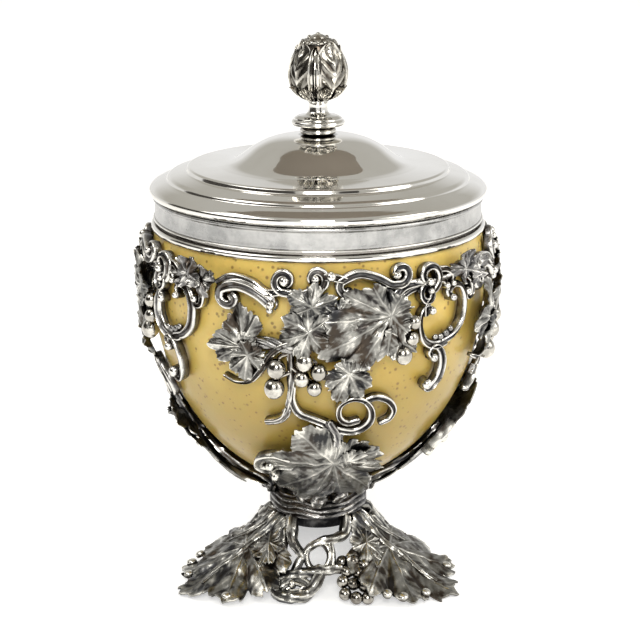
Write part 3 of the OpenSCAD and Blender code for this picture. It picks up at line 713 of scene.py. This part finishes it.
def finial_knop(shape):
    """The turned mount: a fine lower ring, a hollow, the wide knop and a slim neck."""
    lathe(shape, [
        (0, 172), (5.4, 172, 0.2), (6.6, 172.7, 0.4), (6.9, 173.6, 0.5), (6.2, 174.5, 0.4),
        (5.5, 174.9, 0.3), (7.6, 175.2, 0.4), (9.6, 175.7, 0.4), (10, 176.6, 0.5), (9.6, 177.4, 0.3),
        (8.9, 177.7, 0.2), (8.8, 178.3, 0.4), (7.4, 179.1, 0.4), (4.6, 179.5, 0.4), (3.6, 180.6, 0.8),
        (3.4, 182.6, 0.5), (3.6, 183.8, 0.4), (4.1, 184.5, 0.4), (3.6, 184.9, 0.2), (0, 184.9),
    ], 128)


BUD_LINE = spline([(3.3, 185.2), (4, 186), (6.6, 187.2), (8.7, 189.4), (9.8, 192.4), (10, 195.4),
                   (9.2, 198.8), (7.6, 202), (6.3, 204.8), (5.7, 206.6)], 0.3)


def on_bud(angle, f, out):
    """Points on the bud: the angle round it in degrees, and the share of its height."""
    k = np.arange(len(BUD_LINE))
    row = f * k[-1]
    r, z = (np.interp(row, k, BUD_LINE[:, i]) for i in (0, 1))
    dr, dz = (np.interp(row, k, np.gradient(BUD_LINE[:, i])) for i in (0, 1))
    n = unit(np.stack([dz, -dr], -1))
    a = np.radians(angle)
    radius = r + n[..., 0] * out
    return np.stack([radius * np.sin(a), -radius * np.cos(a), z + n[..., 1] * out], -1)


def petal(shape, middle, half, top, lift, veins, seed):
    """A broad bud petal with slanting veins and a rolled edge, rounded at its top."""
    v = np.linspace(0, 1, 40)[:, None]
    u = np.linspace(-1, 1, 33)[None, :]
    rounded = np.sqrt(np.clip(1 - smoothstep(v, 0.7, 1.02) ** 2, 0.02, 1))
    angle = middle + u * half * (0.45 + 0.55 * smoothstep(v, 0, 0.35)) * rounded
    height = v * top + 0 * u
    edge = smoothstep(np.abs(u), 0.7, 0.97)
    midrib = 0.4 * np.exp(-((u / 0.1) ** 2))
    hatch = np.sin(2 * math.pi * (veins * v - 1.7 * np.abs(u)) + seed)
    hatch = hatch * smoothstep(v, 0.1, 0.3) * (1 - edge)
    rise = (
        lift + 0.6 * edge - 0.35 * (1 - u**2) * smoothstep(v, 0.1, 0.4) + midrib + 0.24 * hatch
        + 0.5 * smoothstep(v, 0.88, 1) - 0.4 * (1 - smoothstep(v, 0, 0.12))
    )
    relief = np.clip(0.42 + 0.5 * edge + midrib + 0.22 * hatch, 0, 1)
    inner = on_bud(angle, height, -0.9 + 0 * rise)
    rim = np.concatenate([on_bud(angle, height, rise), inner[:, ::-1]], 1)
    values = np.concatenate([relief, np.full(relief.shape, 0.1)], 1)
    m, n = rim.shape[:2]
    points = np.vstack([rim.reshape(-1, 3), rim[0].mean(0), rim[-1].mean(0)])
    faces = [grid_faces(m, n)[:, ::-1], fan(0, n, m * n), fan((m - 1) * n, n, m * n + 1, True)]
    shape.add(points, faces, np.append(values, [0.2, 0.6]))


def finial_bud(shape):
    """Four broad petals, four narrow ones between them, and small curled leaves at the neck."""
    lathe(shape, np.vstack([(0, 184.6), BUD_LINE - [0.4, 0], (0, 206.6)]), 96, relief=0.25)
    for count, first, half, top, lift, veins, seed in (
        (4, 38, 41, 0.97, 0.25, 5, 0), (4, -7, 13, 0.9, 0.5, 0.6, 7), (8, 16, 17, 0.32, 0.85, 2, 3),
    ):
        for i in range(count):
            petal(shape, first + i * 360 / count, half, top, lift, veins, seed + i)


def finial_flower(shape):
    """The small beaded crown on top of the bud."""
    profile = [(0, 204.2), (5.4, 204.4, 0.4), (6.5, 205.3, 0.4), (6.1, 206.1, 0.3), (4.6, 206.8, 0.4),
               (3.2, 207.7, 0.4), (1.4, 208.5, 0.3), (0, 208.7)]
    lathe(shape, profile, 96, lambda r, z, a, value: (r * (1 + 0.05 * np.cos(9 * a) * (r > 4)), z, value))
    for count, shift, radius, height in ((14, 0, 5.6, 205.9), (8, 0.5, 3.4, 207.3)):
        for i in range(count):
            a = 2 * math.pi * (i + shift) / count
            ball(shape, (radius * math.sin(a), -radius * math.cos(a), height), 0.8, (12, 8))
    ball(shape, (0, 0, 208.2), 1, (12, 8))


def collar_band(shape):
    """The satin band on the egg's cut edge."""
    lathe(shape, [(57.8, 144), (57.8, 142.7, 0.1), (60.7, 142.7, 0.2), (60.6, 144, 0.3), (60.5, 148.6, 0.6),
                  (61.1, 149.2, 0.3), (61.3, 149.7, 0.3), (61, 150.2, 0.2), (60.6, 150.4, 0.2),
                  (57.8, 150.4, 0.2)], 256)


def collar_moulding(shape):
    """The bright half-round lip below the band, with a dark groove above it."""
    lathe(shape, [(60.4, 140.4), (60.7, 138.4, 0.1), (61.6, 138.4, 0.3), (62.1, 139.1, 0.5),
                  (62.1, 140.1, 0.4), (61.5, 140.8, 0.3), (59.8, 140.9, 0.1), (59.8, 141.9, 0.1),
                  (61.2, 142, 0.2), (61.3, 142.4, 0.2), (61, 142.7, 0.2), (57.8, 142.7, 0.1),
                  (57.8, 140.7, 0.1)], 256)


def collar_sleeve(shape):
    """The thin sleeve that lines the mouth."""
    lathe(shape, [(57.8, 140), (57.8, 150.4, 0.3), (56.6, 150.4, 0.3), (56.6, 131, 0.3),
                  (57.8, 131, 0.3)], 192)


def egg_cup(shape):
    """The shell: its outer and inner skins, from the bolt hole at the bottom up to the cut mouth."""
    skins = []
    for shrink, rows in ((0, 110), (EGG_WALL, 70)):
        wide, half = EGG_R - shrink, EGG_HALF - shrink
        t = np.radians(np.linspace(-90, math.degrees(math.asin((EGG_CUT - EGG_Z) / half)), rows))
        skin = np.column_stack([wide * np.cos(t), EGG_Z + half * np.sin(t)])
        skin[0] = (EGG_HOLE, EGG_Z - half)
        skins.append(skin)
    lathe(shape, np.vstack([skins[0], skins[1][::-1]]), 200)


# ---- materials


class Nodes:
    """Adds nodes to a material or the world. What an input gets is a link, a number or a colour."""

    def __init__(self, owner):
        owner.use_nodes = True
        self.owner, self.tree = owner, owner.node_tree
        self.shader = self.tree.nodes.get("Principled BSDF")
        self.coordinates = self.add("TexCoord").outputs
        self.place = self.coordinates["Object"]

    def feed(self, socket, value):
        if isinstance(value, bpy.types.NodeSocket):
            self.tree.links.new(value, socket)
        else:
            socket.default_value = (*value, 1) if socket.type == "RGBA" else value

    def add(self, kind, inputs=None, **settings):
        node = self.tree.nodes.new("ShaderNode" + kind)
        for key, value in settings.items():
            setattr(node, key, value)
        for key, value in (inputs or {}).items():
            self.feed(node.inputs[key], value)
        return node

    def stretched(self, scale):
        return self.add("Mapping", {"Vector": self.place, "Scale": scale}).outputs["Vector"]

    def noise(self, scale, detail=3.0, rough=0.5, where=None):
        inputs = {"Vector": where or self.place, "Scale": scale, "Detail": detail, "Roughness": rough}
        return self.add("TexNoise", inputs).outputs["Fac"]

    def math(self, operation, a, b=0.0, clamp=False):
        return self.add("Math", {0: a, 1: b}, operation=operation, use_clamp=clamp).outputs[0]

    def fit(self, value, low, high, to_low=0.0, to_high=1.0, curve="SMOOTHSTEP"):
        inputs = {"Value": value, "From Min": low, "From Max": high, "To Min": to_low, "To Max": to_high}
        return self.add("MapRange", inputs, interpolation_type=curve).outputs["Result"]

    def mix(self, share, a, b):
        node = self.add("Mix", {"Factor": share}, data_type="RGBA")
        colours = [socket for socket in node.inputs if socket.type == "RGBA"]
        for socket, value in zip(colours, (a, b)):
            self.feed(socket, value)
        return [socket for socket in node.outputs if socket.type == "RGBA"][0]

    def relief(self):
        return self.add("Attribute", attribute_name="relief").outputs["Fac"]

    def hollow(self, distance):
        return self.add("AmbientOcclusion", {"Distance": distance}, samples=8).outputs["AO"]

    def bump(self, height, strength, distance):
        node = self.add("Bump", {"Strength": strength, "Distance": distance, "Height": height})
        self.feed(self.shader.inputs["Normal"], node.outputs["Normal"])

    def set(self, **values):
        """The material, with these values at its shader's inputs."""
        for key, value in values.items():
            self.feed(self.shader.inputs[key.replace("_", " ")], value)
        return self.owner


def material(name):
    return Nodes(bpy.data.materials.new(name))


def polished_silver():
    n = material("polished_silver")
    cloud = n.fit(n.noise(26, 4), 0.35, 0.7)
    # Painted shade: an occlusion mask darkens the colour in grooves and creases, where shade falls.
    groove = n.fit(n.hollow(0.002), 0.3, 0.85)
    unshaded_silver = n.mix(cloud, (0.86, 0.845, 0.81), (0.76, 0.74, 0.69))
    n.bump(n.noise(1500, 2, 0.5, n.stretched((1, 1, 0.3))), 0.02, 0.0001)
    colour = n.mix(groove, (0.12, 0.105, 0.09), unshaded_silver)
    return n.set(Base_Color=colour, Metallic=1.0, Roughness=n.fit(cloud, 0, 1, 0.05, 0.13))


def satin_silver():
    n = material("satin_silver")
    haze = n.fit(n.noise(120, 5, 0.65), 0.3, 0.72)
    lines = n.noise(240, 3, 0.6, n.stretched((1, 1, 7)))
    n.bump(n.math("ADD", lines, n.noise(420, 3, 0.6)), 0.12, 0.0002)
    colour = n.mix(haze, (0.33, 0.33, 0.325), (0.60, 0.595, 0.58))
    return n.set(Base_Color=colour, Metallic=1.0, Roughness=n.fit(haze, 0, 1, 0.22, 0.38))


def cast_silver(name, dark, middle, bright, rough):
    """Oxidised cast silver: dark in the recesses, grey on the faces, rubbed bright on the high edges."""
    n = material(name)
    patches = n.fit(n.noise(170, 5, 0.62), 0.3, 0.72, -0.2, 0.22)
    open_air = n.fit(n.hollow(0.003), 0.25, 0.9)
    worn = n.math("MULTIPLY", n.math("ADD", n.relief(), patches, True), open_air)
    tint = n.mix(n.fit(n.noise(60, 2), 0.4, 0.65), dark, (0.07, 0.055, 0.042))
    face = n.mix(n.fit(worn, 0.04, 0.42), tint, middle)
    colour = n.mix(n.fit(worn, 0.42, 0.9), face, bright)
    n.bump(n.math("ADD", n.noise(700, 4, 0.6), n.math("MULTIPLY", n.noise(220, 2), 1.6)), 0.25, 0.0003)
    return n.set(Base_Color=colour, Metallic=1.0, Roughness=n.fit(worn, 0.1, 0.9, *rough))


def steel():
    n = material("steel")
    lines = n.noise(300, 3, 0.6, n.stretched((1, 1, 5)))
    n.bump(lines, 0.06, 0.0001)
    colour = n.mix(n.fit(lines, 0.3, 0.7), (0.56, 0.56, 0.57), (0.68, 0.68, 0.68))
    return n.set(Base_Color=colour, Metallic=1.0, Roughness=n.fit(n.noise(90), 0.3, 0.7, 0.26, 0.4))


def egg_shell():
    """Ostrich shell: warm cream with a waxy gloss, broad uneven colour and small brown pores, with painted
    light and shade: lighter at the top, darker towards the bottom and next to the metal.
    """
    n = material("egg_shell")
    broad = n.fit(n.noise(18, 3, 0.55), 0.35, 0.68)
    # Painted light and shade: the colour is lighter at the top and darker towards the bottom, as if lit
    # from above.
    top = n.mix(broad, (0.70, 0.49, 0.11), (0.80, 0.59, 0.16))
    low = n.mix(broad, (0.33, 0.23, 0.045), (0.39, 0.28, 0.062))
    height = n.add("SeparateXYZ", {"Vector": n.place}).outputs["Z"]
    colour = n.mix(n.fit(height, 0.07, 0.136), low, top)
    fine = n.fit(n.noise(160, 4, 0.6), 0.35, 0.75, 0, 0.3)
    colour = n.mix(fine, colour, (0.42, 0.26, 0.05))
    spots = n.add("TexVoronoi", {"Vector": n.place, "Scale": 420, "Randomness": 1}).outputs["Distance"]
    size = n.fit(n.noise(90, 2), 0.34, 0.62, 0.03, 0.28)
    pit = n.math("LESS_THAN", spots, size)
    soft = n.math("SUBTRACT", 1, n.fit(n.math("DIVIDE", spots, size), 0.5, 1.3))
    colour = n.mix(n.math("MULTIPLY", soft, 0.75), colour, (0.19, 0.10, 0.03))
    # Painted shade: an occlusion mask darkens the shell where the collar and cradle crowd it.
    shade = n.fit(n.hollow(0.003), 0.0, 0.6)
    colour = n.mix(shade, (0.34, 0.20, 0.05), colour)
    n.bump(n.math("SUBTRACT", n.noise(500, 3, 0.6), pit), 0.16, 0.0003)
    return n.set(
        Base_Color=colour, Roughness=n.fit(n.noise(70, 3), 0.3, 0.7, 0.3, 0.42), Subsurface_Weight=0.12,
        Subsurface_Scale=0.003, Coat_Weight=0.15, Coat_Roughness=0.16,
    )


# Oxidised silver: its colour in recesses, on faces and on worn edges, and its roughness from face to edge
CAST_LOOKS = {
    "cast": ((0.03, 0.03, 0.034), (0.21, 0.205, 0.20), (0.80, 0.78, 0.73), (0.34, 0.18)),
    "leaf": ((0.04, 0.04, 0.042), (0.27, 0.265, 0.245), (0.78, 0.76, 0.70), (0.36, 0.24)),
    "bud": ((0.05, 0.045, 0.04), (0.26, 0.245, 0.215), (0.82, 0.79, 0.72), (0.2, 0.1)),
    "grape": ((0.06, 0.055, 0.05), (0.42, 0.40, 0.36), (0.82, 0.79, 0.72), (0.14, 0.07)),
}
MATERIALS = {
    "polished": polished_silver(), "satin": satin_silver(),
    **{look: cast_silver(look + "_silver", *values) for look, values in CAST_LOOKS.items()},
    "steel": steel(), "egg": egg_shell(),
}


# ---- making the pieces


def add_object(name, data, place=(0, 0, 0), look_at=None, front="Z"):
    """An object whose front axis, Z or -Z, points at a spot if one is given."""
    thing = bpy.data.objects.new(name, data)
    bpy.context.scene.collection.objects.link(thing)
    thing.location = place
    if look_at is not None:
        thing.rotation_euler = (Vector(look_at) - Vector(place)).to_track_quat(front, "Y").to_euler()
    return thing


def make_piece(stands_for, shape, look, body, turn=0):
    """One object from a shape, turned about the axis, riding on its body in place of its CAD node."""
    name = "look_" + stands_for
    points = turned(np.vstack(shape.points), turn) * MM
    points[:, 2] = np.maximum(points[:, 2], 0)
    faces = [row for group in shape.faces for row in group.tolist()]
    mesh = bpy.data.meshes.new(name)
    mesh.from_pydata(points.tolist(), [], faces)
    relief = mesh.attributes.new("relief", "FLOAT", "POINT")
    relief.data.foreach_set("value", np.concatenate(shape.relief).astype(np.float32))
    mesh.validate()
    mesh.shade_smooth()
    mesh.set_sharp_from_angle(angle=math.radians(SHARP_ANGLE))
    mesh.materials.append(MATERIALS[look])
    piece = add_object(name, mesh)
    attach(piece, body)
    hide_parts(stands_for)


def drawn(maker, *values):
    shape = Shape()
    maker(shape, *values)
    return shape


# A maker has the name of the CAD node that its piece stands for, after its side where it has one
SINGLE_PARTS = [
    (lid_shell, "polished", "lid"), (lid_bezel, "polished", "lid"), (finial_knop, "polished", "lid"),
    (finial_bud, "bud", "lid"), (finial_flower, "bud", "lid"), (collar_band, "satin", "cup"),
    (collar_moulding, "polished", "cup"), (collar_sleeve, "polished", "cup"), (egg_cup, "egg", "cup"),
    (stem_ring, "cast", "cup"),
]
PANEL_PARTS = [
    (crest, "cast"), (hoop, "cast"), (vine, "cast"), (big_leaf, "leaf"), (centre_leaf, "leaf"),
    (side_leaf, "leaf"), (low_leaf, "leaf"), (grapes, "grape"),
]
FOOT_PARTS = [
    (foot_leaf, "leaf", LEAF_TURNS), (foot_root, "leaf", ROOT_TURNS), (foot_grapes, "grape", ROOT_TURNS),
]

for maker, look, body in SINGLE_PARTS:
    make_piece(maker.__name__, drawn(maker), look, body)

for maker, look in PANEL_PARTS:
    shape = drawn(maker)
    for side, turn in SIDES.items():
        make_piece(f"{side}_{maker.__name__}", shape, look, "cup", turn)

for maker, look, turns in FOOT_PARTS:
    for side, turn in turns.items():
        make_piece(f"{side}_{maker.__name__}", drawn(maker, turn), look, "cup", turn)

for name in ("finial_stud", "finial_nut", "egg_seat", "cup_bolt", "cup_nut"):
    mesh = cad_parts[name].data
    mesh.materials.clear()
    mesh.materials.append(MATERIALS["satin" if name == "egg_seat" else "steel"])


# ---- stage, light and camera


def flat(name, size, place, look_at=None, colour=(1, 1, 1), glow=0.0, rough=0.8, corners=4):
    """A plain card or floor: a rectangle, or an oval one if it has many corners."""
    turns = [2 * math.pi * (k + 0.5) / corners for k in range(corners)]
    reach = 0.5 / math.cos(math.pi / corners)
    rim = [(size[0] * reach * math.cos(a), size[1] * reach * math.sin(a), 0) for a in turns]
    mesh = bpy.data.meshes.new(name)
    mesh.from_pydata(rim, [], [tuple(range(corners))])
    paint = dict(Base_Color=colour, Roughness=rough, Emission_Color=colour, Emission_Strength=glow)
    mesh.materials.append(material(name).set(**paint))
    card = add_object(name, mesh, place, look_at)
    return card


def hidden_card(name, *values, **more):
    """A card that only shows in reflections."""
    flat(name, *values, **more).visible_camera = False


def softbox(name, size, place, look_at, power, colour):
    light = bpy.data.lights.new(name, "AREA")
    light.shape = "RECTANGLE"
    light.size, light.size_y = size
    light.energy = power
    light.color = colour
    add_object(name, light, place, look_at, "-Z")


def studio_walls():
    """White walls that turn grey above the horizon, between these two heights on a unit sphere."""
    white_to, grey_from = 0.2, 0.42
    world = bpy.data.worlds.new("studio")
    bpy.context.scene.world = world
    n = Nodes(world)
    height = n.add("SeparateXYZ", {"Vector": n.coordinates["Generated"]}).outputs["Z"]
    background = n.tree.nodes["Background"].inputs
    share = n.fit(height, white_to, grey_from, curve="LINEAR")
    n.feed(background["Color"], n.mix(share, (1, 1, 1), (0.56, 0.545, 0.505)))
    n.feed(background["Strength"], 0.9)


def photo_camera():
    """A camera where the photo's was, looking down at the cup."""
    camera = bpy.data.cameras.new("camera")
    camera.lens = LENS_MM
    camera.sensor_width = SENSOR_MM
    camera.shift_x = CAMERA_SHIFT
    eye = add_object("camera", camera, CAMERA_PLACE)
    eye.rotation_euler = (math.radians(90 - CAMERA_PITCH), 0, 0)
    bpy.context.scene.camera = eye


CAMERA_PLACE = (0, -0.6, 0.275)
CAMERA_PITCH = 16.2
CAMERA_SHIFT = 0.003
LENS_MM = 92.4
SENSOR_MM = 36
MIDDLE = (0, 0, 0.1)
DARK = (0.04, 0.036, 0.032)

flat("floor", (12, 12), (0, 0, 0), colour=(0.93, 0.93, 0.93), rough=0.9, glow=0.5)
softbox("window_left", (1.3, 1.1), (-1.3, -0.3, 1.8), MIDDLE, 10, (1, 0.99, 0.97))
softbox("window_right", (1.0, 1.2), (1.5, -0.5, 1.1), MIDDLE, 10, (1, 0.98, 0.95))
softbox("front", (0.7, 0.8), (0.0, -1.8, 1.3), MIDDLE, 24, (1, 0.99, 0.96))
hidden_card("grey_ceiling", (1.15, 0.95), (0, 0.28, 1.25), MIDDLE, (0.19, 0.165, 0.135), corners=48)
hidden_card("dark_card_left", (1.0, 1.1), (-0.9, -1.0, 0.62), MIDDLE, DARK)
hidden_card("dark_card_side", (1.6, 0.9), (-1.4, -0.05, 0.52), MIDDLE, DARK)
hidden_card("dark_card_right", (0.4, 0.9), (0.62, -1.2, 0.5), MIDDLE, DARK)
studio_walls()
photo_camera()
bpy.context.scene.view_settings.view_transform = "Standard"
